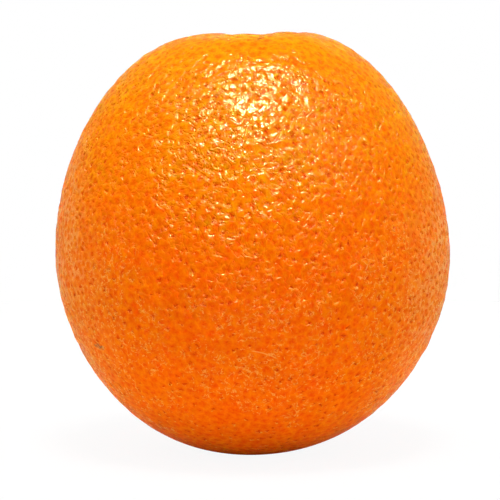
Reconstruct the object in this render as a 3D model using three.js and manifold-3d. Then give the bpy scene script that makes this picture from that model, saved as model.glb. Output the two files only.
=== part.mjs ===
// A ripe orange, picked and standing stem end up on a small flat spot. Millimetres, +Z up.
// The origin is the middle of the flat spot, so the fruit stands on the plane z = 0.
// The fruit grew as one piece, so it is one closed solid: the rind, with its dried stem button.

import * as THREE from "three";
import { mergeVertices } from "three/addons/utils/BufferGeometryUtils.js";
import Module from "manifold-3d";

// Driving dimensions, in millimetres unless a comment says otherwise.
const WIDTH = 72; // across the widest part of the fruit, before its unevenness
const RADIUS = WIDTH / 2;
const CROWN_HEIGHT = 1.086 * RADIUS; // from the widest part up to the flattened top
const CROWN_SOFTNESS = 0.05 * RADIUS; // how gently the shoulder turns on to the top
const FLAT_DEPTH = 0.3; // how much of the round underside the flat spot takes away

// The rind's distance from the fruit's middle, as a share of RADIUS. It is a cubic in the sine
// of the latitude: the shoulders are fuller than the flanks, and the underside is a little long.
const FLANK_SHARES = [0.986, -0.0448, 0.112, 0.0821];

// The fruit isn't quite round. Its lower half has a slight swell and hollow, and the whole
// leans one way below its middle and the other way above it.
const SWELL = 0.31; // height of the swell at the middle, and depth of the hollow below it
const SWELL_WAVES = 5; // swells in a full turn of latitude
const LEAN = 0.26; // largest shift of the rind to one side
const LEAN_PERIOD = THREE.MathUtils.degToRad(141); // latitude from one lean to the next alike
const LEAN_ZERO = THREE.MathUtils.degToRad(8); // latitude with no lean
const OVAL = 0.3; // how far its plan is from a circle, across the diagonals
const TRIANGLE = 0.22; // and how far from one with three slight corners

// The stem end: a shallow cavity with low furrows that run out over the shoulder.
const STEM_OFFSET = 1.4; // the stem stands this far to one side of the fruit's middle
const CAVITY_DEPTH = 1.8;
const CAVITY_RADIUS = 5.6; // where the cavity is about a third of its depth
const FURROW_COUNT = 7;
const FURROW_DEPTH = 0.34; // from the furrow's floor to the ridge beside it
const FURROW_START = 4; // distance from the stem where the furrows begin
const FURROW_PEAK = 8.5; // distance from the stem where they are deepest
const FURROW_PHASE = THREE.MathUtils.degToRad(-79); // the heading of the first furrow
const HIGH_SHOULDER = 0.25; // one side of the top stands this much higher
const HIGH_SHOULDER_START = 1.2; // distance from the axis where it starts to rise
const HIGH_SHOULDER_END = 4.5; // and where it is full

// The stem button: the dried star of sepals left where the fruit was cut from its twig.
const BUTTON_RADIUS = 3.3;
const BUTTON_HEIGHT = 0.95; // from the cavity's floor to the rim of the twig's scar
const BUTTON_SINK = 1.2; // how far its underside is set into the rind
const BUTTON_LOBES = 5;
const BUTTON_LOBE_DEPTH = 0.2; // share of the radius lost between two sepals
const SCAR_RADIUS = 1.3; // the cut end of the twig
const SCAR_DEPTH = 0.35;

// Mesh fineness.
const SPHERE_DETAIL = 18; // subdivisions of each icosahedron edge
const STEM_END_FINENESS = 1.2; // above 1, the faces are smaller towards the stem end
const BUTTON_SEGMENTS = 40;

const RIND_COLOUR = 0xf56c05;
const RIND_ROUGHNESS = 0.42;

/** Distance from the fruit's middle to the rind, for the sine of a latitude. */
function flankDistance(sinLatitude) {
  const shareAt = (sum, share) => sum * sinLatitude + share;
  return RADIUS * FLANK_SHARES.reduceRight(shareAt, 0);
}

/** How far the rind stands out at a latitude: even above the middle, in waves below it. */
function swell(latitude) {
  return SWELL * Math.cos(SWELL_WAVES * Math.min(latitude, 0));
}

/** Height of the fruit's middle, its widest part, above the plane it stands on. */
const MIDDLE_HEIGHT = flankDistance(-1) + swell(-Math.PI / 2) - FLAT_DEPTH;

/** Turns the shoulders gently on to the flattened top: a smooth lower of height and crown. */
function flattenCrown(height) {
  const below = Math.exp(-height / CROWN_SOFTNESS);
  const crown = Math.exp(-CROWN_HEIGHT / CROWN_SOFTNESS);
  return -CROWN_SOFTNESS * Math.log(below + crown);
}

/** How far the rind stands out from an even round form, for a unit direction. */
function unevenness(direction) {
  const latitude = Math.asin(direction.z);
  const heading = Math.atan2(direction.y, direction.x);
  const lean = -LEAN * direction.x * Math.sin((2 * Math.PI * (latitude - LEAN_ZERO)) / LEAN_PERIOD);
  const girth = Math.cos(latitude) ** 2;
  const oval = OVAL * girth * Math.sin(2 * heading);
  const triangle = TRIANGLE * girth * Math.sin(3 * heading);
  return swell(latitude) + lean + oval + triangle;
}

/** Depth of the stem cavity at a distance from the stem. */
function cavityDepth(distance) {
  return CAVITY_DEPTH * Math.exp(-((distance / CAVITY_RADIUS) ** 2));
}

/** Depth of the furrows at a place beside the stem: ridges and grooves by turns. */
function furrowDepth(distance, heading) {
  const outward = Math.max(0, distance - FURROW_START) / (FURROW_PEAK - FURROW_START);
  const strength = outward * Math.exp(1 - outward);
  const groove = 0.5 + 0.5 * Math.cos(FURROW_COUNT * (heading - FURROW_PHASE));
  return FURROW_DEPTH * strength * groove;
}

/** A point of the rind in a unit direction from the fruit's middle. */
function rindPoint(direction) {
  const point = direction.clone().multiplyScalar(flankDistance(direction.z) + unevenness(direction));
  if (point.z > 0) {
    const distance = Math.hypot(point.x - STEM_OFFSET, point.y);
    const heading = Math.atan2(point.y, point.x - STEM_OFFSET);
    const onTop = THREE.MathUtils.smoothstep(direction.z, 0.5, 0.8);
    const dip = cavityDepth(distance) + furrowDepth(distance, heading);
    const rise = THREE.MathUtils.smoothstep(point.x, HIGH_SHOULDER_START, HIGH_SHOULDER_END);
    point.z = flattenCrown(point.z) + onTop * (HIGH_SHOULDER * rise - dip);
  }
  point.z += MIDDLE_HEIGHT;
  return point;
}

/** Draws a unit direction towards the stem end, so that its small forms get smaller faces. */
function drawToStemEnd(direction) {
  const fromStem = Math.acos(THREE.MathUtils.clamp(direction.z, -1, 1));
  const drawn = Math.PI * (fromStem / Math.PI) ** STEM_END_FINENESS;
  const heading = Math.atan2(direction.y, direction.x);
  const outward = Math.sin(drawn);
  return new THREE.Vector3(outward * Math.cos(heading), outward * Math.sin(heading), Math.cos(drawn));
}

/** The whole rind as a closed shell, before its flat spot is cut. */
function rindShell() {
  const geometry = new THREE.IcosahedronGeometry(1, SPHERE_DETAIL);
  const position = geometry.getAttribute("position");
  const direction = new THREE.Vector3();
  for (let i = 0; i < position.count; i += 1) {
    direction.fromBufferAttribute(position, i).normalize();
    const point = rindPoint(drawToStemEnd(direction));
    position.setXYZ(i, point.x, point.y, point.z);
  }
  return geometry;
}

/** A block under the fruit: its top is the plane that the fruit stands on. */
function groundBlock() {
  const side = WIDTH;
  return new THREE.BoxGeometry(side, side, side).translate(0, 0, -side / 2);
}

/** The stem button, set into the floor of the stem cavity. */
function stemButton() {
  const stemDirection = new THREE.Vector3(STEM_OFFSET, 0, MIDDLE_HEIGHT).normalize();
  const floor = rindPoint(stemDirection).z;
  const top = floor + BUTTON_HEIGHT;
  const profile = [
    new THREE.Vector2(0, floor - BUTTON_SINK),
    new THREE.Vector2(0.75 * BUTTON_RADIUS, floor - BUTTON_SINK),
    new THREE.Vector2(BUTTON_RADIUS, floor + 0.1),
    new THREE.Vector2(0.84 * BUTTON_RADIUS, floor + 0.55 * BUTTON_HEIGHT),
    new THREE.Vector2(1.25 * SCAR_RADIUS, top - 0.08),
    new THREE.Vector2(SCAR_RADIUS, top),
    new THREE.Vector2(0.8 * SCAR_RADIUS, top - SCAR_DEPTH),
    new THREE.Vector2(0, top - SCAR_DEPTH),
  ];
  const geometry = new THREE.LatheGeometry(profile, BUTTON_SEGMENTS).rotateX(Math.PI / 2);
  const position = geometry.getAttribute("position");
  for (let i = 0; i < position.count; i += 1) {
    const heading = Math.atan2(position.getY(i), position.getX(i));
    const lobe = 1 - BUTTON_LOBE_DEPTH * (0.5 - 0.5 * Math.cos(BUTTON_LOBES * heading));
    position.setX(i, position.getX(i) * lobe);
    position.setY(i, position.getY(i) * lobe);
  }
  return geometry.translate(STEM_OFFSET, 0, 0);
}

/** A closed geometry as a solid that can be joined and cut. */
function toSolid(wasm, geometry) {
  const bare = new THREE.BufferGeometry();
  bare.setAttribute("position", geometry.getAttribute("position"));
  bare.setIndex(geometry.getIndex());
  const merged = mergeVertices(bare, 1e-4);
  const vertProperties = new Float32Array(merged.getAttribute("position").array);
  const triVerts = new Uint32Array(merged.getIndex().array);
  return new wasm.Manifold(new wasm.Mesh({ numProp: 3, vertProperties, triVerts }));
}

/** A solid's surface as a geometry with normals. */
function toGeometry(solid) {
  const mesh = solid.getMesh();
  const geometry = new THREE.BufferGeometry();
  geometry.setAttribute("position", new THREE.BufferAttribute(mesh.vertProperties, 3));
  geometry.setIndex(new THREE.BufferAttribute(mesh.triVerts, 1));
  geometry.computeVertexNormals();
  return geometry;
}

/** The fruit: the rind with its button joined on and its flat spot cut. */
function orangeFruit(wasm) {
  const rind = toSolid(wasm, rindShell());
  const whole = rind.add(toSolid(wasm, stemButton())).subtract(toSolid(wasm, groundBlock()));
  const material = new THREE.MeshStandardMaterial({
    color: RIND_COLOUR,
    roughness: RIND_ROUGHNESS,
    metalness: 0,
  });
  const mesh = new THREE.Mesh(toGeometry(whole), material);
  mesh.name = "orange_fruit";
  return mesh;
}

const wasm = await Module();
wasm.setup();

const orange = new THREE.Group();
orange.add(orangeFruit(wasm));

export default orange;
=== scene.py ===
"""The looks of a ripe orange that stands stem end up on its flat spot.

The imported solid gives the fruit's form. A rind with modelled oil-gland pits is wrapped over that
form, a dried stem button sits in the cavity at the top, and a plain pale stage carries the fruit.
"""

from __future__ import annotations

import logging
import math
from collections.abc import Callable, Mapping
from dataclasses import dataclass, field
from enum import Enum
from functools import partial, reduce
from typing import Any

import bmesh
import bpy
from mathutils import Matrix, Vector
from mathutils.bvhtree import BVHTree


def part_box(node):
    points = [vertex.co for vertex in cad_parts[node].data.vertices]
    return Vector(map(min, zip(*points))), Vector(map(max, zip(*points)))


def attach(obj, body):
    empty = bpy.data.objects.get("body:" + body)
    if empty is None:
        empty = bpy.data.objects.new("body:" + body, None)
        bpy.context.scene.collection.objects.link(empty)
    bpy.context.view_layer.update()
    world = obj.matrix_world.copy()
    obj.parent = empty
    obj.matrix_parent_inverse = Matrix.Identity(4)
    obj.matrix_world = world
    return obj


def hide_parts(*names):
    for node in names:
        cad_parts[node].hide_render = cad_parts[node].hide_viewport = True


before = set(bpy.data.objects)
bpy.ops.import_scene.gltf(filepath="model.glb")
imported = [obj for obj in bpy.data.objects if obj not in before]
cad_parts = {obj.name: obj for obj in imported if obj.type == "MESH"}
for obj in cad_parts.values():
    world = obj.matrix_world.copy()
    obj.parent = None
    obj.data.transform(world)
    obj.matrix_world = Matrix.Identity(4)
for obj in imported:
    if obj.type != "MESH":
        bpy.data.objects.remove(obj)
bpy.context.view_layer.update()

MM = 0.001  # a millimetre, in metres
FRUIT_NODE = "orange_fruit"
BODY = "root"
STEM_OFFSET = 1.4 * MM  # the stem stands this far to +X of the fruit's middle

Colour = tuple[float, float, float]
Vector3 = tuple[float, float, float]
Material = bpy.types.Material
Node = bpy.types.Node
Object = bpy.types.Object
Socket = bpy.types.NodeSocket
Tree = bpy.types.NodeTree
log = logging.getLogger("orange")


class Slot(Enum):
    """The names of the two materials."""

    RIND = "rind"
    STEM_BUTTON = "stem_button"


class Attribute(Enum):
    """Names of the values that the rind's mesh carries for its material."""

    PIT = "pit"  # 0 on the ridge between pits, 1 on the floor of a full pit
    TONE = "tone"  # one random value for each pit and the rind around it
    GLAND = "gland"  # where the middle of the nearest pit is


@dataclass(frozen=True)
class Ramp:
    """A smooth step from low, at the value start, to high, at the value end."""

    start: float
    end: float
    low: float = 0.0
    high: float = 1.0


@dataclass(frozen=True)
class Blobs:
    """A noise: the size of its blobs, and its finer layers."""

    size: float
    detail: float = 2.0  # how many finer layers it has
    roughness: float = 0.5  # how strong each finer layer is
    distortion: float = 0.0


@dataclass(frozen=True)
class Patches:
    """Patches that a noise makes, with the ramp from its value to their mask."""

    blobs: Blobs
    ramp: Ramp


@dataclass(frozen=True)
class Stroke:
    """A thin curved line on the fruit's front, in millimetres. Its ends' Y doesn't matter."""

    start: Vector3
    end: Vector3
    sag: float  # how far its middle stands above the straight line
    width: float
    depth: float = 0.0


@dataclass(frozen=True)
class Wave:
    """A share that swings with the heading: its height, its count in a turn and its phase."""

    height: float
    count: float
    phase: float = 0.0

    def at(self, turn: float) -> float:
        """Gives the share in a heading, in radians."""
        return self.height * math.sin(self.count * turn + self.phase)


# Node trees


class Nodes:
    """Adds nodes to one tree and links them."""

    def __init__(self, tree: Tree) -> None:
        """Starts on a shader or geometry tree."""
        self.tree = tree

    def feed(self, socket: Socket, value: Any) -> None:
        """Links a socket into another, or sets it to a plain value.

        Args:
            socket: The input to feed.
            value: An output socket, or a value that the input can hold.
        """
        if isinstance(value, Socket):
            self.tree.links.new(value, socket)
        else:
            socket.default_value = value

    def add(self, kind: str, inputs: Mapping[str, Any] | None = None,
            **settings: Any) -> Node:
        """Adds a node.

        Args:
            kind: The node's type name.
            inputs: Values or sockets for its inputs, by their names.
            **settings: Its own properties, such as operation.

        Returns:
            The new node.
        """
        node = self.tree.nodes.new(kind)
        for name, value in settings.items():
            setattr(node, name, value)
        for name, value in (inputs or {}).items():
            self.feed(node.inputs[name], value)
        return node

    def math(self, operation: str, *values: Any, clamp: bool = False) -> Socket:
        """Adds a Math node.

        Args:
            operation: The node's operation, such as MULTIPLY.
            *values: One to three numbers or sockets.
            clamp: Whether the result is held between 0 and 1.

        Returns:
            The result's socket.
        """
        node = self.add("ShaderNodeMath", operation=operation, use_clamp=clamp)
        for socket, value in zip(node.inputs, values):
            self.feed(socket, value)
        return node.outputs[0]

    def vector(self, operation: str, *values: Any, scale: Any = None) -> Socket:
        """Adds a Vector Math node.

        Args:
            operation: The node's operation, such as NORMALIZE.
            *values: One to three vectors or sockets.
            scale: The factor of the SCALE operation.

        Returns:
            The socket of its vector, or of its value where it has only that.
        """
        node = self.add("ShaderNodeVectorMath", operation=operation)
        for socket, value in zip(node.inputs, values):
            self.feed(socket, value)
        if scale is not None:
            self.feed(node.inputs["Scale"], scale)
        only_value = operation in ("LENGTH", "DISTANCE", "DOT_PRODUCT")
        return node.outputs["Value" if only_value else "Vector"]

    def minus(self, first: Any, second: Any) -> Socket:
        """Takes the second value from the first."""
        return self.math("SUBTRACT", first, second)

    def product(self, first: Any, *others: Any) -> Socket:
        """Multiplies two or more values."""
        return reduce(partial(self.math, "MULTIPLY"), others, first)

    def scaled(self, value: Any, factor: Any, start: Any) -> Socket:
        """Gives start plus the value times the factor."""
        return self.math("MULTIPLY_ADD", value, factor, start)

    def size(self, value: Any) -> Socket:
        """Gives a value without its sign."""
        return self.math("ABSOLUTE", value)

    def bell(self, value: Any) -> Socket:
        """Gives 1 where a value is 0, and falls smoothly to 0 on both sides."""
        return self.math("EXPONENT", self.product(self.math("POWER", value, 2.0), -1.0))

    def axis(self, place: Any, name: str) -> Socket:
        """Takes the coordinate X, Y or Z of a vector."""
        return self.add("ShaderNodeSeparateXYZ", {"Vector": place}).outputs[name]

    def level(self, place: Any) -> Socket:
        """Sets a vector's Z to 0."""
        return self.vector("MULTIPLY", place, (1.0, 1.0, 0.0))

    def ease(self, value: Any, ramp: Ramp) -> Socket:
        """Maps a value along a ramp, held at both ends."""
        ranges = {"Value": value, "From Min": ramp.start, "From Max": ramp.end,
                  "To Min": ramp.low, "To Max": ramp.high}
        return self.add("ShaderNodeMapRange", ranges, interpolation_type="SMOOTHSTEP").outputs[0]

    def noise(self, place: Any, blobs: Blobs) -> Socket:
        """Adds a noise with blobs in the coordinates' unit. Its value lies about 0.5."""
        inputs = {"Vector": place, "Scale": 1.0 / blobs.size, "Detail": blobs.detail,
                  "Roughness": blobs.roughness, "Distortion": blobs.distortion}
        return self.add("ShaderNodeTexNoise", inputs).outputs[0]

    def patches(self, place: Any, patches: Patches) -> Socket:
        """Adds the mask of patches."""
        return self.ease(self.noise(place, patches.blobs), patches.ramp)

    def mix(self, factor: Any, first: Any, second: Any) -> Socket:
        """Mixes two colours.

        Args:
            factor: 0 gives the first colour and 1 the second.
            first: A colour or socket.
            second: A colour or socket.

        Returns:
            The mixed colour's socket.
        """
        node = self.add("ShaderNodeMix", data_type="RGBA")
        self.feed(node.inputs[0], factor)
        for socket, value in ((node.inputs[6], first), (node.inputs[7], second)):
            self.feed(socket, (*value, 1.0) if isinstance(value, tuple) else value)
        return node.outputs[2]

    def millimetres(self) -> Socket:
        """Gives the object's own coordinates in millimetres."""
        place = self.add("ShaderNodeTexCoord").outputs["Object"]
        return self.vector("SCALE", place, scale=1.0 / MM)

    def attribute(self, carried: Attribute, output: str) -> Socket:
        """Reads a value that the mesh carries for its material."""
        return self.add("ShaderNodeAttribute", attribute_name=carried.value).outputs[output]

    def grain(self, group: Tree, place: Any, crinkle_size: float, mottle_size: float) -> Any:
        """Adds the shared grain.

        Args:
            group: The grain's node group.
            place: The coordinates.
            crinkle_size: The crinkle's size.
            mottle_size: The mottling's size.

        Returns:
            The group's outputs, by name.
        """
        node = self.add("ShaderNodeGroup", node_tree=group)
        sizes = {"Place": place, "Crinkle Size": crinkle_size, "Mottle Size": mottle_size}
        for name, value in sizes.items():
            self.feed(node.inputs[name], value)
        return node.outputs

    def skin(self, output: Node, colour: Any, rough: Any, height: Any,
             specular_level: float) -> Node:
        """Adds the shader of a skin with fine relief, and links it to the output.

        Args:
            output: The material's output node.
            colour: The skin's colour.
            rough: Its roughness.
            height: Its relief, in millimetres.
            specular_level: How strong its gloss is.

        Returns:
            The shader's node.
        """
        bump = self.add("ShaderNodeBump", {"Height": height, "Distance": MM, "Strength": 1.0})
        shader = self.add("ShaderNodeBsdfPrincipled", {
            "Base Color": colour,
            "Roughness": rough,
            "Specular IOR Level": specular_level,
            "Normal": bump.outputs["Normal"],
        })
        self.feed(output.inputs["Surface"], shader.outputs["BSDF"])
        return shader


def new_input(tree: Tree, name: str, kind: str, value: Any = None) -> str:
    """Gives a tree a named input.

    Args:
        tree: The tree.
        name: The input's name.
        kind: Its socket type, without the NodeSocket in front.
        value: Its default, where it has one.

    Returns:
        The socket's identifier.
    """
    kind = f"NodeSocket{kind}"
    socket = tree.interface.new_socket(name=name, in_out="INPUT", socket_type=kind)
    if value is not None:
        socket.default_value = value
    return socket.identifier


def new_output(tree: Tree, name: str, kind: str) -> None:
    """Gives a tree a named output of a socket type."""
    tree.interface.new_socket(name=name, in_out="OUTPUT", socket_type=f"NodeSocket{kind}")


def bare_material(name: str) -> tuple[Material, Nodes, Node]:
    """Makes a material with only an output.

    Args:
        name: The material's name.

    Returns:
        The material, its nodes and its output node.
    """
    material = bpy.data.materials.new(name)
    material.use_nodes = True
    material.node_tree.nodes.clear()
    nodes = Nodes(material.node_tree)
    return material, nodes, nodes.add("ShaderNodeOutputMaterial")


def new_object(name: str, data: bpy.types.ID) -> Object:
    """Makes an object and links it into the scene.

    Args:
        name: The object's name.
        data: Its mesh, lamp or camera.

    Returns:
        The object.
    """
    made = bpy.data.objects.new(name, data)
    bpy.context.scene.collection.objects.link(made)
    return made


def new_mesh(name: str, work: bmesh.types.BMesh) -> bpy.types.Mesh:
    """Turns a working mesh into a mesh, and frees it.

    Args:
        name: The mesh's name.
        work: The working mesh.

    Returns:
        The mesh.
    """
    mesh = bpy.data.meshes.new(name)
    work.to_mesh(mesh)
    work.free()
    return mesh


# Finishes


def grain_group() -> Tree:
    """Builds the shared grain: a skin's fine crinkle as a height, and its mottling as a mask.

    Returns:
        The shader node group.
    """
    tree = bpy.data.node_groups.new("skin_grain", "ShaderNodeTree")
    new_input(tree, "Place", "Vector")
    layers = (("Crinkle", 0.5, 3.0), ("Mottle", 4.0, 2.0))  # name, usual size and detail
    for name, size, _ in layers:
        new_input(tree, f"{name} Size", "Float", size)
        new_output(tree, name, "Float")
    nodes = Nodes(tree)
    source = nodes.add("NodeGroupInput").outputs
    result = nodes.add("NodeGroupOutput").inputs
    for name, _, detail in layers:
        scale = nodes.math("DIVIDE", 1.0, source[f"{name} Size"])
        inputs = {"Vector": source["Place"], "Scale": scale, "Detail": detail}
        value = nodes.add("ShaderNodeTexNoise", inputs).outputs[0]
        nodes.feed(result[name], nodes.product(nodes.minus(value, 0.5), 2.0))
    return tree


@dataclass(frozen=True)
class RindFinish:
    """The waxy, pitted skin of a ripe orange. Sizes are in millimetres."""

    # Colours. A tone is a pit's random value, from 0 to 1.
    # Towards the crown the skin turns yellower and paler, partly its own colour and partly painted
    # light from above. The foot's raised red is painted light that lifts the shade under the
    # fruit.
    body: Colour = (0.90, 0.146, 0.0004)
    crown: Colour = (0.99, 0.218, 0.0006)
    foot: Colour = (0.96, 0.133, 0.0004)
    foot_rise: Ramp = Ramp(0.0, 34.2)  # heights over which the foot turns into the body
    crown_rise: Ramp = Ramp(34.2, 76.0)
    lit_brow: Colour = (1.04, 1.27, 1.0)  # painted light: how much paler the upper front is, where the highlight falls, as shares
    lit_brow_middle: Vector3 = (-1.0, -32.0, 53.0)
    lit_brow_reach: Ramp = Ramp(22.0, 8.0)
    light: Colour = (1.03, 1.50, 2.0)  # the palest flecks, as shares of the skin's colour
    deep: Colour = (0.94, 0.64, 0.6)  # and the deepest
    paleness: float = 0.42  # where the skin lies between the deepest and the palest
    fleck: Blobs = Blobs(1.3, 3.0, 0.65)
    fleck_weight: float = 1.3
    crinkle_weight: float = 0.55
    ridge: float = 0.6  # distance from a gland beyond which the skin is paler; nearer the gland it is deeper, partly its own tone and partly painted shade in the dimples
    ridge_weight: float = 0.62
    mottle_weight: float = 0.10
    tone_weight: float = 0.12
    mottle_size: float = 5.0
    # Pits, and the wide dimples about them.
    # The pits' dark red is partly their own colour and partly painted shade in their hollows.
    pit: Colour = (0.60, 0.019, 0.0001)
    high_pit_painted_light: Colour = (0.86, 0.045, 0.0001)  # the same near the crown, paler there as painted light from above
    high_pit_painted_light_rise: Ramp = Ramp(36.0, 60.0)
    pit_darkness: Ramp = Ramp(0.20, 1.0, 0.10, 0.75)  # by tone
    pit_radius: float = 0.36
    pit_least: float = 0.35  # share of the radius at tone 0
    pit_growth: float = 0.9  # and what tone 1 adds
    pit_wall: Ramp = Ramp(0.1, 0.8)
    pit_depth: float = 0.13
    bend: float = 1.8  # how far the pits' outlines are bent
    bend_scale: float = 1.4
    bend_detail: float = 2.0
    dimple_radius: float = 0.45
    dimple_depth: float = 0.35
    dimple_least: float = 0.20  # share of the depth at tone 0
    dimple_growth: float = 1.35  # and what tone 1 adds
    dimple_power: float = 2.8
    # Painted highlights: pale, broken glints on the lower lips of the deeper pits.
    lip_glint: Colour = (0.98, 0.47, 0.065)
    lip_distance: float = 0.42
    lip_width: float = 0.13
    lip_drop: Ramp = Ramp(0.02, 0.30)  # how far the pit's middle lies above the lip
    lip_gaps: Patches = Patches(Blobs(0.7, 1.0), Ramp(0.40, 0.58))
    lip_tones: Ramp = Ramp(0.30, 0.9)
    lip_rise: Ramp = Ramp(68.0, 50.0, 0.0, 0.74)
    # Painted reflection: a pale sheen network on the flanks, as gloss mirroring the white surround
    # at a slant.
    flank_sheen: Colour = (0.95, 0.36, 0.11)
    flank_sheen_slant: float = 0.14  # how much farther out it starts for each unit of height
    flank_sheen_reach: Ramp = Ramp(19.0, 30.0)
    flank_sheen_breakup: Patches = Patches(Blobs(11.0), Ramp(0.36, 0.60, 0.45))
    flank_sheen_ridges: Ramp = Ramp(0.50, 0.70)  # distances from a gland
    flank_sheen_patches: Patches = Patches(Blobs(1.6), Ramp(0.38, 0.60, 0.10, 0.66))
    # Where the skin was rubbed, low on the front and thinly on the cheeks.
    scuff: Colour = (0.95, 0.39, 0.07)
    rubbed_strength: float = 0.85
    rubbed_roughness: float = 0.25
    rubbed_lines: Blobs = Blobs(1.3, 2.0, 0.6, 0.5)
    rubbed_thinness: Ramp = Ramp(0.036, 0.004)
    rubbed_gaps: Patches = Patches(Blobs(0.8), Ramp(0.40, 0.56))
    rubbed_patches: Blobs = Blobs(4.5)
    rubbed_middle: Vector3 = (0.5, -33.0, 21.0)
    rubbed_reach: Ramp = Ramp(26.0, 4.0, 0.0, 0.27)
    cheek_reach: Ramp = Ramp(12.0, 25.0, 0.0, 0.30)
    cheek_rise: Ramp = Ramp(52.0, 34.0)
    rubbed_likely: Ramp = Ramp(0.60, 0.74)
    scratch: Stroke = Stroke((-0.4, 0.0, 22.6), (4.4, 0.0, 21.0), 0.30, 0.16)
    scratch_strength: float = 0.8
    # The brown smudge low on the front's left, and the scar in the middle of the underside.
    smudge: Colour = (0.22, 0.060, 0.045)
    smudge_middle: Vector3 = (-26.8, -18.4, 21.4)
    smudge_squash: Vector3 = (1.0, 1.0, 2.6)
    smudge_edge: Ramp = Ramp(3.0, 1.3, 0.0, 0.85)
    smudge_rags: Blobs = Blobs(0.6)
    smudge_raggedness: float = 2.0
    smudge_streaks: Patches = Patches(Blobs(0.4, 1.0), Ramp(0.38, 0.60, 0.15))
    scar: Colour = (0.36, 0.17, 0.06)
    scar_rags: Blobs = Blobs(0.8)
    scar_edge: Ramp = Ramp(2.4, 1.4)
    # The short fold across the front shoulder, below the stem cavity. Its dark colour is painted
    # shade in the fold.
    fold_shade: Colour = (0.50, 0.045, 0.004)
    fold_shade_strength: float = 0.8
    fold_middle: Vector3 = (1.35, -13.3, 75.1)
    fold_turn: float = math.radians(-42.0)
    fold_bend: float = 0.25
    fold_width: float = 0.42
    fold_taper: float = -0.14  # how much wider it gets for each unit along it
    fold_edge: Ramp = Ramp(1.0, 0.3)
    fold_ends: Ramp = Ramp(1.05, 0.55)
    fold_rise: Ramp = Ramp(60.0, 68.0)
    fold_depth: float = 0.30
    # Relief. About the crown the skin is calm: smoother than elsewhere.
    calm_rise: Ramp = Ramp(67.0, 73.0)
    calm_reach: Ramp = Ramp(8.0, 14.0)
    calm_share: float = -0.70
    crinkle_size: float = 0.45
    crinkle_height: float = 0.008
    ripple: Blobs = Blobs(2.2, 1.0)
    ripple_height: float = 0.26
    groove_depth: float = 0.105
    groove_width: float = 0.034  # in the noise's own values
    groove_layers: tuple[tuple[float, Vector3], ...] = (
        (3.4, (0.0, 0.0, 0.0)), (2.4, (31.0, 7.0, 13.0)), (1.6, (5.0, 23.0, 41.0)),
    )  # the size of each layer, and how far it is shifted
    groove_distortion: float = 0.3
    groove_gap_size: float = 1.3  # as a share of the layer's size
    groove_gaps: Ramp = Ramp(0.40, 0.60, 0.2)
    wrinkle_depth: float = 0.22
    wrinkle_count: float = 5.0
    wrinkle_drift: float = 0.08  # how fast the wrinkles change on their way out
    wrinkle_centres: tuple[tuple[Vector3, Ramp], ...] = (
        ((STEM_OFFSET / MM, 0.0, 76.0), Ramp(11.0, 3.0)), ((0.0, 0.0, 0.0), Ramp(6.0, 1.0)),
    )  # the stem's foot and the scar, and how far the wrinkles reach
    stroke_edge: float = 0.3  # share of a stroke's width that is at full strength
    stroke_ends: Ramp = Ramp(0.5, 0.36)
    scores: tuple[Stroke, ...] = (
        Stroke((-12.0, 0.0, 54.3), (-6.6, 0.0, 50.9), 0.15, 0.38, 0.130),
        Stroke((-9.2, 0.0, 57.0), (-7.0, 0.0, 54.1), -0.4, 0.28, 0.080),
        Stroke((-6.6, 0.0, 39.1), (-4.0, 0.0, 38.4), 0.1, 0.24, 0.150),
        Stroke((-17.0, 0.0, 51.6), (-14.4, 0.0, 49.8), 0.1, 0.28, 0.090),
    )  # the longer grooves on the front
    # Gloss, and the light that spreads inside the skin.
    roughness: float = 0.125
    specular_level: float = 0.002
    specular_tint: Colour = (15.0, 9.9, 4.8)
    translucency: float = 1.0
    scatter: Vector3 = (1.0, 0.38, 0.12)  # how far each colour spreads, as shares of the depth
    scatter_depth: float = 0.85


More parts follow.
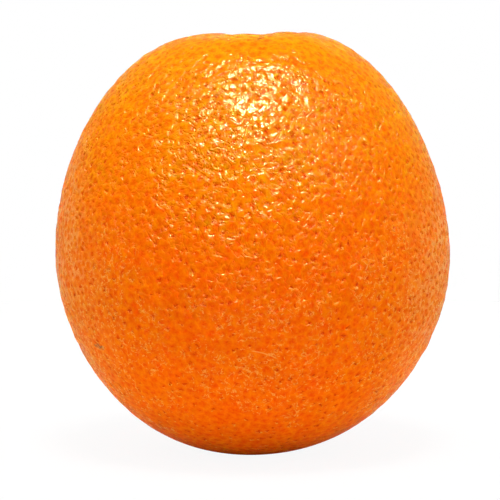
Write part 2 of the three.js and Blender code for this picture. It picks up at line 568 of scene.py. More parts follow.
class RindPaint:
    """Turns the rind's finish into its material. Places are in millimetres."""

    def __init__(self, finish: RindFinish, grain: Tree) -> None:
        """Starts the material, and finds where each point lies in its pit.

        Args:
            finish: The rind's finish.
            grain: The shared grain group.
        """
        self.finish = finish
        self.material, self.nodes, self.output = bare_material("rind")
        nodes = self.nodes
        self.place = nodes.millimetres()
        self.sideways = nodes.size(nodes.axis(self.place, "X"))
        self.up = nodes.axis(self.place, "Z")
        self.front = nodes.math("LESS_THAN", nodes.axis(self.place, "Y"), 0.0)
        self.grain = nodes.grain(grain, self.place, finish.crinkle_size, finish.mottle_size)
        self.tone = nodes.attribute(Attribute.TONE, "Fac")
        gland = nodes.vector("SCALE", nodes.attribute(Attribute.GLAND, "Vector"), scale=1.0 / MM)
        away = nodes.vector("SUBTRACT", self.place, gland)
        self.above = nodes.product(nodes.axis(away, "Z"), -1.0)
        inputs = {"Vector": self.place, "Scale": finish.bend_scale, "Detail": finish.bend_detail}
        bend = nodes.add("ShaderNodeTexNoise", inputs).outputs["Color"]
        bend = nodes.vector("SUBTRACT", bend, (0.5, 0.5, 0.5))
        bend = nodes.vector("SCALE", bend, scale=finish.bend)
        self.far = nodes.vector("LENGTH", nodes.vector("ADD", away, bend))
        self.pit, self.dimple = self.pit_masks()
        self.crease = self.crease_mask()
        self.calm = self.calm_factor()

    def build(self) -> Material:
        """Paints the skin.

        Returns:
            The rind's material.
        """
        finish, nodes = self.finish, self.nodes
        rubbed = self.rubbed()
        scratch = self.stroke(finish.scratch)
        colour = self.marks(self.colour(), rubbed, scratch)
        wear_and_sheen_patches = nodes.math("MAXIMUM", rubbed, scratch)
        rough = nodes.scaled(wear_and_sheen_patches, finish.rubbed_roughness, finish.roughness)
        shader = nodes.skin(self.output, colour, rough, self.relief(), finish.specular_level)
        shader.inputs["Specular Tint"].default_value = (*finish.specular_tint, 1.0)
        shader.inputs["Subsurface Weight"].default_value = finish.translucency
        shader.inputs["Subsurface Radius"].default_value = finish.scatter
        shader.inputs["Subsurface Scale"].default_value = finish.scatter_depth * MM
        return self.material

    def pit_masks(self) -> tuple[Socket, Socket]:
        """Finds how far into the nearest pit, and into the wide dimple about it, a point is.

        Returns:
            The pit's mask, 1 in its middle, and the dimple's, highest at the highest tones.
        """
        finish, nodes = self.finish, self.nodes
        share = nodes.scaled(self.tone, finish.pit_growth, finish.pit_least)
        out = nodes.math("DIVIDE", self.far, nodes.product(share, finish.pit_radius))
        pit = nodes.ease(nodes.math("SUBTRACT", 1.0, out, clamp=True), finish.pit_wall)
        strong = nodes.math("POWER", self.tone, finish.dimple_power)
        deep = nodes.scaled(strong, finish.dimple_growth, finish.dimple_least)
        out = nodes.math("DIVIDE", self.far, finish.dimple_radius)
        return pit, nodes.product(nodes.bell(out), deep)

    def calm_factor(self) -> Socket:
        """Finds how much of the relief is left: all of it but about the crown.

        Returns:
            The factor's socket, 1 where nothing changes.
        """
        finish, nodes = self.finish, self.nodes
        outward = nodes.vector("LENGTH", nodes.level(self.place))
        high = nodes.ease(self.up, finish.calm_rise)
        smooth = nodes.product(high, nodes.ease(outward, finish.calm_reach))
        return nodes.scaled(smooth, finish.calm_share, 1.0)

    def colour(self) -> Socket:
        """Mixes the skin's colour before marks: deeper towards the foot and in the pits, with
        painted light and shade: a paler crown and upper front, a raised red at the foot, glints on
        the pits' lower lips, a pale sheen on the flanks, and shade in the dimples and pits.

        Returns:
            The colour's socket.
        """
        finish, nodes = self.finish, self.nodes
        lower = nodes.mix(nodes.ease(self.up, finish.foot_rise), finish.foot, finish.body)
        whole = nodes.mix(nodes.ease(self.up, finish.crown_rise), lower, finish.crown)
        # Painted light: the upper front is paler where the highlight falls.
        off = nodes.vector("DISTANCE", self.place, finish.lit_brow_middle)
        lit_brow = nodes.vector("MULTIPLY", whole, finish.lit_brow)
        whole = nodes.mix(nodes.ease(off, finish.lit_brow_reach), whole, lit_brow)
        fleck = nodes.minus(nodes.noise(self.place, finish.fleck), 0.5)
        pale = nodes.scaled(fleck, finish.fleck_weight, finish.paleness)
        # Partly painted shade: the skin is deeper near each gland and paler on the ridges between.
        for value, weight in (
            (self.grain["Crinkle"], finish.crinkle_weight),
            (nodes.minus(self.far, finish.ridge), finish.ridge_weight),
            (self.grain["Mottle"], finish.mottle_weight),
            (nodes.minus(self.tone, 0.5), finish.tone_weight),
        ):
            pale = nodes.scaled(value, weight, pale)
        deep = nodes.vector("MULTIPLY", whole, finish.deep)
        toned = nodes.mix(pale, deep, nodes.vector("MULTIPLY", whole, finish.light))
        glinted = nodes.mix(self.lower_lip_glints(), toned, finish.lip_glint)
        sheened = nodes.mix(self.side_sheen(), glinted, finish.flank_sheen)
        # Painted shade in the pits, paler towards the crown as painted light.
        dark = nodes.product(nodes.ease(self.tone, finish.pit_darkness), self.calm)
        shade = nodes.mix(nodes.ease(self.up, finish.high_pit_painted_light_rise), finish.pit, finish.high_pit_painted_light)
        return nodes.mix(nodes.product(self.pit, dark), sheened, shade)

    def lower_lip_glints(self) -> Socket:
        """Finds the painted highlights: pale, broken glints on the lower lips of the deeper pits,
        below the crown.

        Returns:
            The glints' mask.
        """
        finish, nodes = self.finish, self.nodes
        off = nodes.math("DIVIDE", nodes.minus(self.far, finish.lip_distance), finish.lip_width)
        lip_glint = nodes.product(nodes.bell(off), nodes.ease(self.above, finish.lip_drop))
        strong = nodes.ease(self.tone, finish.lip_tones)
        broken = nodes.patches(self.place, finish.lip_gaps)
        return nodes.product(lip_glint, broken, strong, nodes.ease(self.up, finish.lip_rise))

    def side_sheen(self) -> Socket:
        """Finds the painted sheen: a pale network between the flanks' pits, which is widest low
        down.

        Returns:
            The network's mask.
        """
        finish, nodes = self.finish, self.nodes
        out = nodes.scaled(self.up, -finish.flank_sheen_slant, self.sideways)
        where = nodes.ease(out, finish.flank_sheen_reach)
        wear_and_sheen_patches = nodes.patches(self.place, finish.flank_sheen_breakup)
        network = nodes.ease(self.far, finish.flank_sheen_ridges)
        patchy = nodes.patches(self.place, finish.flank_sheen_patches)
        return nodes.product(network, patchy, where, wear_and_sheen_patches)

    def rubbed(self) -> Socket:
        """Finds the pale network where the skin was rubbed.

        Returns:
            The network's mask.
        """
        finish, nodes = self.finish, self.nodes
        line = nodes.size(nodes.minus(nodes.noise(self.place, finish.rubbed_lines), 0.5))
        network = nodes.ease(line, finish.rubbed_thinness)
        broken = nodes.patches(self.place, finish.rubbed_gaps)
        far = nodes.vector("DISTANCE", self.place, finish.rubbed_middle)
        close = nodes.ease(far, finish.rubbed_reach)
        low = nodes.ease(self.up, finish.cheek_rise)
        cheek = nodes.product(nodes.ease(self.sideways, finish.cheek_reach), low)
        likely = nodes.math("ADD", close, nodes.noise(self.place, finish.rubbed_patches))
        likely = nodes.math("ADD", cheek, likely)
        return nodes.product(network, broken, nodes.ease(likely, finish.rubbed_likely))

    def marks(self, colour: Any, rubbed: Any, scratch: Any) -> Socket:
        """Adds what wear and growth left on the skin, and painted shade in the fold.

        Args:
            colour: The colour so far.
            rubbed: The mask of rubbed skin.
            scratch: The scratch's mask.

        Returns:
            The marked colour's socket.
        """
        finish, nodes = self.finish, self.nodes
        colour = nodes.mix(nodes.product(rubbed, finish.rubbed_strength), colour, finish.scuff)
        colour = nodes.mix(nodes.product(scratch, finish.scratch_strength), colour, finish.scuff)
        off = nodes.vector("SUBTRACT", self.place, finish.smudge_middle)
        far = nodes.vector("LENGTH", nodes.vector("MULTIPLY", off, finish.smudge_squash))
        rags = nodes.noise(self.place, finish.smudge_rags)
        edge = nodes.ease(nodes.scaled(rags, finish.smudge_raggedness, far), finish.smudge_edge)
        streaks = nodes.patches(self.place, finish.smudge_streaks)
        colour = nodes.mix(nodes.product(edge, streaks), colour, finish.smudge)
        # Painted shade in the fold.
        colour = nodes.mix(nodes.product(self.crease, finish.fold_shade_strength), colour, finish.fold_shade)
        rags = nodes.noise(self.place, finish.scar_rags)
        ragged = nodes.math("ADD", rags, nodes.vector("LENGTH", self.place))
        return nodes.mix(nodes.ease(ragged, finish.scar_edge), colour, finish.scar)

    def stroke(self, line: Stroke) -> Socket:
        """Finds a thin curved line on the front.

        Args:
            line: The line.

        Returns:
            The line's mask.
        """
        nodes = self.nodes
        along = Vector((line.end[0] - line.start[0], 0.0, line.end[2] - line.start[2]))
        across = Vector((-along.z, 0.0, along.x)).normalized()
        from_start = nodes.vector("SUBTRACT", self.place, line.start)
        reach = nodes.vector("DOT_PRODUCT", from_start, tuple(along / along.length))
        share = nodes.math("DIVIDE", reach, along.length)
        height = nodes.vector("DOT_PRODUCT", from_start, tuple(across))
        # A parabola through both ends: four times the sag makes the middle's share of 1/4 whole.
        arch = nodes.product(share, nodes.minus(1.0, share), 4.0 * line.sag)
        off = nodes.size(nodes.minus(height, arch))
        thin = nodes.ease(off, Ramp(line.width, self.finish.stroke_edge * line.width))
        middle = nodes.size(nodes.minus(share, 0.5))
        return nodes.product(thin, nodes.ease(middle, self.finish.stroke_ends), self.front)

    def crease_mask(self) -> Socket:
        """Finds the short fold that lies across the front shoulder.

        Returns:
            The fold's mask.
        """
        finish, nodes = self.finish, self.nodes
        off = nodes.level(nodes.vector("SUBTRACT", self.place, finish.fold_middle))
        inputs = {"Vector": off, "Angle": finish.fold_turn}
        turned = nodes.add("ShaderNodeVectorRotate", inputs, rotation_type="Z_AXIS").outputs[0]
        along = nodes.axis(turned, "X")
        bent = nodes.math("POWER", along, 2.0)
        across = nodes.size(nodes.scaled(bent, finish.fold_bend, nodes.axis(turned, "Y")))
        width = nodes.scaled(along, finish.fold_taper, finish.fold_width)
        line = nodes.ease(nodes.math("DIVIDE", across, width), finish.fold_edge)
        ends = nodes.ease(nodes.size(along), finish.fold_ends)
        return nodes.product(line, ends, nodes.ease(self.up, finish.fold_rise))

    def relief(self) -> Socket:
        """Sums the fine relief that is too small for the mesh.

        Returns:
            The socket of the skin's height.
        """
        finish, nodes = self.finish, self.nodes
        ripple = nodes.minus(nodes.noise(self.place, finish.ripple), 0.5)
        height = nodes.product(ripple, 2.0 * finish.ripple_height)
        height = nodes.scaled(self.grain["Crinkle"], finish.crinkle_height, height)
        depths = [
            nodes.product(self.pit, finish.pit_depth),
            nodes.product(self.dimple, finish.dimple_depth),
            nodes.product(self.crease, finish.fold_depth),
            *self.grooves(),
            *self.wrinkles(),
            *(nodes.product(self.stroke(score), score.depth) for score in finish.scores),
        ]
        return nodes.product(reduce(nodes.minus, depths, height), self.calm)

    def grooves(self) -> list[Socket]:
        """Finds the fine grooves that wander between the pits.

        Returns:
            The depth of each layer of grooves.
        """
        finish, nodes = self.finish, self.nodes
        depths = []
        for size, shift in finish.groove_layers:
            moved = nodes.vector("ADD", self.place, shift)
            line = nodes.noise(moved, Blobs(size, 1.0, distortion=finish.groove_distortion))
            off = nodes.math("DIVIDE", nodes.minus(line, 0.5), finish.groove_width)
            gaps = Patches(Blobs(finish.groove_gap_size * size), finish.groove_gaps)
            broken = nodes.patches(moved, gaps)
            depths.append(nodes.product(nodes.bell(off), broken, finish.groove_depth))
        return depths

    def wrinkles(self) -> list[Socket]:
        """Finds the wrinkles that run out from the stem and from the scar under the fruit.

        Returns:
            The depth of each set of wrinkles.
        """
        finish, nodes = self.finish, self.nodes
        depths = []
        for centre, reach in finish.wrinkle_centres:
            off = nodes.vector("SUBTRACT", self.place, centre)
            turn = nodes.vector("NORMALIZE", nodes.level(off))
            turn = nodes.vector("SCALE", turn, scale=finish.wrinkle_count)
            drift = nodes.vector("SCALE", off, scale=finish.wrinkle_drift)
            streak = nodes.noise(nodes.vector("ADD", turn, drift), Blobs(1.0))
            near = nodes.ease(nodes.vector("LENGTH", off), reach)
            depths.append(nodes.product(streak, near, 2.0 * finish.wrinkle_depth))
        return depths


@dataclass(frozen=True)
class ButtonFinish:
    """Dried sepals about the cut end of a twig. Sizes are in millimetres."""

    sepal: Colour = (0.150, 0.095, 0.022)
    dry: Colour = (0.33, 0.185, 0.055)
    bark: Colour = (0.095, 0.050, 0.018)
    pith: Colour = (0.42, 0.27, 0.11)
    roughness: float = 0.74
    rough_mottle: float = 0.1  # what the mottling adds to the roughness
    specular_level: float = 0.004  # as low as the rind's, for the same bright lamps
    grain_size: float = 0.28
    grain_height: float = 0.07
    mottle_size: float = 0.8
    edge_mottle: float = 0.16  # how far the mottling shifts the colours' borders
    dry_patches: Ramp = Ramp(-0.35, 0.35)
    dry_edge: Ramp = Ramp(2.1, 3.4)  # distances from the stem
    bark_edge: Ramp = Ramp(1.625, 1.3)
    pith_edge: Ramp = Ramp(0.936, 0.715)

    def material(self, grain: Tree) -> Material:
        """Builds the material.

        Args:
            grain: The shared grain group.

        Returns:
            The stem button's material.
        """
        material, nodes, output = bare_material("stem_button")
        place = nodes.millimetres()
        skin = nodes.grain(grain, place, self.grain_size, self.mottle_size)
        mottle = skin["Mottle"]
        out = nodes.vector("DISTANCE", nodes.level(place), (STEM_OFFSET / MM, 0.0, 0.0))
        out = nodes.scaled(mottle, self.edge_mottle, out)
        colour = nodes.mix(nodes.ease(mottle, self.dry_patches), self.sepal, self.dry)
        for edge, inner in ((self.dry_edge, self.dry), (self.bark_edge, self.bark),
                            (self.pith_edge, self.pith)):
            colour = nodes.mix(nodes.ease(out, edge), colour, inner)
        rough = nodes.scaled(mottle, self.rough_mottle, self.roughness)
        height = nodes.product(skin["Crinkle"], self.grain_height)
        nodes.skin(output, colour, rough, height, self.specular_level)
        return material


# The fruit


@dataclass
class FruitForm:
    """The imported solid, and where the fruit's middle and stem are in it."""

    node: Object
    hole: float = 3.6 * MM  # radius about the stem within which the button is taken out
    hole_dip: float = 0.80 * MM  # how much lower the floor is there in its middle
    merge: float = 0.002 * MM  # corners closer than this are one
    clearance: float = 10.0 * MM  # how far above the fruit the search for the floor starts
    low: Vector = field(init=False)
    high: Vector = field(init=False)

    def __post_init__(self) -> None:
        """Reads the solid's box."""
        self.low, self.high = (Vector(corner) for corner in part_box(FRUIT_NODE))

    @property
    def middle(self) -> Vector:
        """The fruit's middle, on the axis through its flat spot."""
        return Vector((0.0, 0.0, 0.5 * (self.low.z + self.high.z)))

    @property
    def radius(self) -> float:
        """Half the fruit's width."""
        return 0.25 * ((self.high.x - self.low.x) + (self.high.y - self.low.y))

    def bare_mesh(self) -> bpy.types.Mesh:
        """Copies the solid's surface without its stem button.

        Returns:
            A merged closed mesh, with a plain floor where the button was.
        """
        work = bmesh.new()
        work.from_mesh(self.node.data)
        bmesh.ops.remove_doubles(work, verts=work.verts, dist=self.merge)
        inside = [vertex for vertex in work.verts if self.by_button(vertex.co)]
        bmesh.ops.delete(work, geom=inside, context="VERTS")
        rim = [edge for edge in work.edges if edge.is_boundary]
        floor = sum((v.co for edge in rim for v in edge.verts), Vector()) / (2 * len(rim))
        centre = work.verts.new(floor - Vector((0.0, 0.0, self.hole_dip)))
        for edge in rim:
            work.faces.new((*edge.verts, centre))
        bmesh.ops.recalc_face_normals(work, faces=work.faces)
        return new_mesh("rind_form", work)

    def by_button(self, place: Vector) -> bool:
        """Tells whether a place is on the button or close about it."""
        beside = math.hypot(place.x - STEM_OFFSET, place.y)
        return place.z > self.middle.z and beside < self.hole

    def floor_under_button(self) -> Callable[[float, float], Vector]:
        """Finds the cavity's floor under the button.

        Returns:
            A function from a place beside the stem to the point of the floor there.
        """
        mesh = self.bare_mesh()
        corners = [vertex.co.copy() for vertex in mesh.vertices]
        tree = BVHTree.FromPolygons(corners, [tuple(face.vertices) for face in mesh.polygons])
        bpy.data.meshes.remove(mesh)

        def floor(x: float, y: float) -> Vector:
            """Gives the floor's point at a place beside the stem."""
            start = Vector((x + STEM_OFFSET, y, self.high.z + self.clearance))
            return tree.ray_cast(start, Vector((0.0, 0.0, -1.0)))[0]

        return floor


@dataclass
class Rind:
    """The fruit's skin: one cell of skin for each oil gland, with a pit in its middle.

    The glands are scattered evenly over a sphere, each takes the skin nearest to it, and the
    cells are then wrapped on to the fruit's form. Lengths are in metres.
    """

    form: FruitForm
    form_level: int = 2  # how often the form's faces are divided to round them
    ball_level: int = 5  # and the sphere's
    spacing: float = 1.14 * MM  # least distance between two glands; the mean one is larger
    crowding: float = 2.5  # glands tried for each square of that distance
    relax_steps: int = 1
    seed: int = 7
    collar: float = 0.56  # share of a cell inside which the skin starts to sink
    collar_least: float = 0.75  # share of the collar at tone 0
    collar_growth: float = 0.5  # and what tone 1 adds
    collar_depth: float = 0.35  # as a share of the pit's
    floor: float = 0.46  # the pit's floor, as a share of the collar
    pit_depth: float = 0.05 * MM
    pit_least: float = 0.3  # share of the depth at tone 0
    pit_growth: float = 0.7  # and what tone 1 adds
    pebble_size: float = 2.3 * MM
    pebble_height: float = 0.25 * MM
    pebble_detail: float = 1.5
    pebble_roughness: float = 0.55
    lift: float = 0.09 * MM  # the ridges stand this far above the form, as the pits sink below
    shoulder: float = 0.26 * MM  # how much higher the skin swells on the top's +X side
    shoulder_start: Ramp = Ramp(1.0 * MM, 4.5 * MM)  # across the top, towards +X
    shoulder_end: Ramp = Ramp(15.0 * MM, 9.5 * MM)
    shoulder_rise: Ramp = Ramp(66.0 * MM, 75.0 * MM)
    off_stem: Ramp = Ramp(4.2 * MM, 7.0 * MM)  # the swell keeps clear of the sepals
    off_flat: Ramp = Ramp(0.0, 14.0 * MM)  # and the relief of the flat spot

    def build(self, material: Material) -> Object:
        """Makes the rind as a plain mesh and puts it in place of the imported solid.

        Args:
            material: The rind's material.

        Returns:
            The rind.
        """
        copy = new_object("rind_form", self.form.bare_mesh())
        grown_by = RindTree(self, material)
        grower = copy.modifiers.new("pitted_rind", "NODES")
        grower.node_group = grown_by.tree
        for identifier, value in grown_by.values.items():
            grower[identifier] = value
        grown = copy.evaluated_get(bpy.context.evaluated_depsgraph_get())
        mesh = bpy.data.meshes.new_from_object(grown)
        copy.modifiers.clear()
        bpy.data.objects.remove(copy)
        rind = new_object("rind", mesh)
        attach(rind, BODY)
        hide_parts(FRUIT_NODE)
        return rind


class RindTree:
    """The geometry tree that grows a rind, with the values of its inputs by identifier."""

    def __init__(self, rind: Rind, material: Material) -> None:
        """Builds the tree.

        Args:
            rind: The rind to grow.
            material: The rind's material.
        """
        self.rind = rind
        self.tree = bpy.data.node_groups.new("pitted_rind", "GeometryNodeTree")
        new_input(self.tree, "Form", "Geometry")
        sizes: list[tuple[str, str, Any]] = [
            ("Middle", "Vector", tuple(rind.form.middle)),
            ("Radius", "Float", rind.form.radius),
            ("Spacing", "Float", rind.spacing),
            ("Seed", "Int", rind.seed),
            ("Relax Steps", "Int", rind.relax_steps),
            ("Collar", "Float", rind.collar),
            ("Floor", "Float", rind.floor),
            ("Pit Depth", "Float", rind.pit_depth),
            ("Pebble Size", "Float", rind.pebble_size),
            ("Pebble Height", "Float", rind.pebble_height),
            ("Lift", "Float", rind.lift),
            ("Shoulder", "Float", rind.shoulder),
            ("Material", "Material", material),
        ]
        self.values = {new_input(self.tree, name, kind): value for name, kind, value in sizes}
        new_output(self.tree, "Rind", "Geometry")
        self.nodes = nodes = Nodes(self.tree)
        self.source = nodes.add("NodeGroupInput").outputs
        inputs = {"Mesh": self.source["Form"], "Level": rind.form_level}
        self.form = nodes.add("GeometryNodeSubdivisionSurface", inputs).outputs["Mesh"]
        skin = self.raise_skin(self.pits(self.wrap(self.gland_cells())))
        smooth = nodes.add("GeometryNodeSetShadeSmooth", {"Geometry": skin})
        real = nodes.add("GeometryNodeRealizeInstances", {"Geometry": smooth.outputs[0]})
        inputs = {"Geometry": real.outputs[0], "Material": self.source["Material"]}
        dressed = nodes.add("GeometryNodeSetMaterial", inputs)
        nodes.add("NodeGroupOutput", {"Rind": dressed.outputs[0]})

    def position(self) -> Socket:
        """Gives the places of the points."""
        return self.nodes.add("GeometryNodeInputPosition").outputs[0]

    def carried(self, attribute: Attribute) -> Socket:
        """Reads a number that the mesh carries."""
        name = {"Name": attribute.value}
        node = self.nodes.add("GeometryNodeInputNamedAttribute", name, data_type="FLOAT")
        return node.outputs[0]

    def gland_cells(self) -> Socket:
        """Scatters the glands over a sphere and gives each the skin nearest to it.

        Returns:
            The socket of a closed mesh with one face for each gland.
        """
        nodes, source = self.nodes, self.source
        inputs = {"Radius": source["Radius"], "Subdivisions": self.rind.ball_level}
        ball = nodes.add("GeometryNodeMeshIcoSphere", inputs)
        square = nodes.math("POWER", source["Spacing"], 2.0)
        inputs = {"Mesh": ball.outputs[0], "Distance Min": source["Spacing"],
                  "Density Max": nodes.math("DIVIDE", self.rind.crowding, square),
                  "Seed": source["Seed"]}
        scatter = nodes.add("GeometryNodeDistributePointsOnFaces", inputs,
                            distribute_method="POISSON")
        start = nodes.add("GeometryNodeRepeatInput")
        end = nodes.add("GeometryNodeRepeatOutput")
        start.pair_with_output(end)
        nodes.feed(start.inputs["Iterations"], source["Relax Steps"])
        nodes.feed(start.inputs["Geometry"], scatter.outputs["Points"])
        cells = self.nearest_skin(start.outputs["Geometry"])
        centres = nodes.add("GeometryNodeMeshToPoints", {"Mesh": cells}, mode="FACES")
        nodes.feed(end.inputs["Geometry"], centres.outputs[0])
        return self.nearest_skin(end.outputs["Geometry"])

    def nearest_skin(self, points: Any) -> Socket:
        """Turns points into the cells of the sphere that lie nearest to them.

        Args:
            points: The points' socket.

        Returns:
            The cells' socket.
        """
        nodes = self.nodes
        heading = nodes.vector("NORMALIZE", self.position())
        place = nodes.vector("SCALE", heading, scale=self.source["Radius"])
        inputs = {"Geometry": points, "Position": place}
        round_points = nodes.add("GeometryNodeSetPosition", inputs)
        hull = nodes.add("GeometryNodeConvexHull", {"Geometry": round_points.outputs[0]})
        return nodes.add("GeometryNodeDualMesh", {"Mesh": hull.outputs[0]}).outputs[0]

    def cast(self, heading: Any) -> Socket:
        """Finds the places where headings from the fruit's middle meet its form."""
        inputs = {"Target Geometry": self.form, "Source Position": self.source["Middle"],
                  "Ray Direction": heading, "Ray Length": 1.0}
        return self.nodes.add("GeometryNodeRaycast", inputs).outputs["Hit Position"]

    def wrap(self, cells: Any) -> Socket:
        """Moves cells from the sphere on to the form.

        Args:
            cells: The cells' socket, about the origin.

        Returns:
            The socket of the wrapped cells, which carry their tone and their gland's place.
        """
        nodes = self.nodes
        inputs = {"Geometry": cells, "Position": self.cast(self.position())}
        moved = nodes.add("GeometryNodeSetPosition", inputs)
        seed = {"Seed": self.source["Seed"]}
        chance = nodes.add("FunctionNodeRandomValue", seed, data_type="FLOAT")
        inputs = {"Geometry": moved.outputs[0], "Name": Attribute.TONE.value,
                  "Value": chance.outputs[1]}
        toned = nodes.add("GeometryNodeStoreNamedAttribute", inputs, domain="FACE")
        inputs = {"Geometry": toned.outputs[0], "Name": Attribute.GLAND.value}
        marked = nodes.add("GeometryNodeStoreNamedAttribute", inputs, domain="FACE",
                           data_type="FLOAT_VECTOR")
        nodes.feed(marked.inputs["Value"], self.position())
        return marked.outputs[0]

    def pits(self, cells: Any) -> Socket:
        """Gives each cell a collar and a pit floor, both still level with the skin.

        Args:
            cells: The cells' socket.

        Returns:
            The socket of the cells, which carry how deep each point is in its pit.
        """
        nodes, rind = self.nodes, self.rind
        tone = self.carried(Attribute.TONE)
        width = nodes.scaled(tone, rind.collar_growth, rind.collar_least)
        collar = nodes.product(self.source["Collar"], width)
        size = nodes.scaled(tone, rind.pit_growth, rind.pit_least)
        mesh, chosen = cells, True
        for share, depth in ((collar, rind.collar_depth), (self.source["Floor"], 1.0)):
            inputs = {"Mesh": mesh, "Selection": chosen, "Offset Scale": 0.0, "Individual": True}
            inset = nodes.add("GeometryNodeExtrudeMesh", inputs, mode="FACES")
            chosen = inset.outputs["Top"]
            inputs = {"Geometry": inset.outputs["Mesh"], "Selection": chosen, "Scale": share}
            shrunk = nodes.add("GeometryNodeScaleElements", inputs, domain="FACE")
            inputs = {"Geometry": shrunk.outputs[0], "Selection": chosen,
                      "Name": Attribute.PIT.value, "Value": nodes.product(size, depth)}
            stored = nodes.add("GeometryNodeStoreNamedAttribute", inputs, domain="POINT")
            mesh = stored.outputs[0]
        return mesh

    def raise_skin(self, skin: Any) -> Socket:
        """Lays every point on the form again, then sinks the pits and raises the pebbling.

        Args:
            skin: The skin's socket.

        Returns:
            The socket of the finished skin.
        """
        nodes, source, rind = self.nodes, self.source, self.rind
        place = self.position()
        heading = nodes.vector("NORMALIZE", nodes.vector("SUBTRACT", place, source["Middle"]))
        level = self.cast(heading)
        sink = nodes.product(self.carried(Attribute.PIT), source["Pit Depth"])
        inputs = {"Vector": place, "Scale": nodes.math("DIVIDE", 1.0, source["Pebble Size"]),
                  "Detail": rind.pebble_detail, "Roughness": rind.pebble_roughness}
        pebble = nodes.add("ShaderNodeTexNoise", inputs).outputs[0]
        bump = nodes.product(nodes.minus(pebble, 0.5), 2.0)
        height = nodes.scaled(bump, source["Pebble Height"], source["Lift"])
        up, aside = nodes.axis(level, "Z"), nodes.axis(level, "X")
        beside = nodes.vector("DISTANCE", nodes.level(level), (STEM_OFFSET, 0.0, 0.0))
        swell = nodes.product(
            nodes.ease(aside, rind.shoulder_start), nodes.ease(aside, rind.shoulder_end),
            nodes.ease(beside, rind.off_stem), nodes.ease(up, rind.shoulder_rise),
        )
        height = nodes.scaled(swell, source["Shoulder"], height)
        offset = nodes.product(nodes.minus(height, sink), nodes.ease(up, rind.off_flat))
        target = nodes.vector("ADD", level, nodes.vector("SCALE", heading, scale=offset))
        inputs = {"Geometry": skin, "Position": target}
        return nodes.add("GeometryNodeSetPosition", inputs).outputs[0]


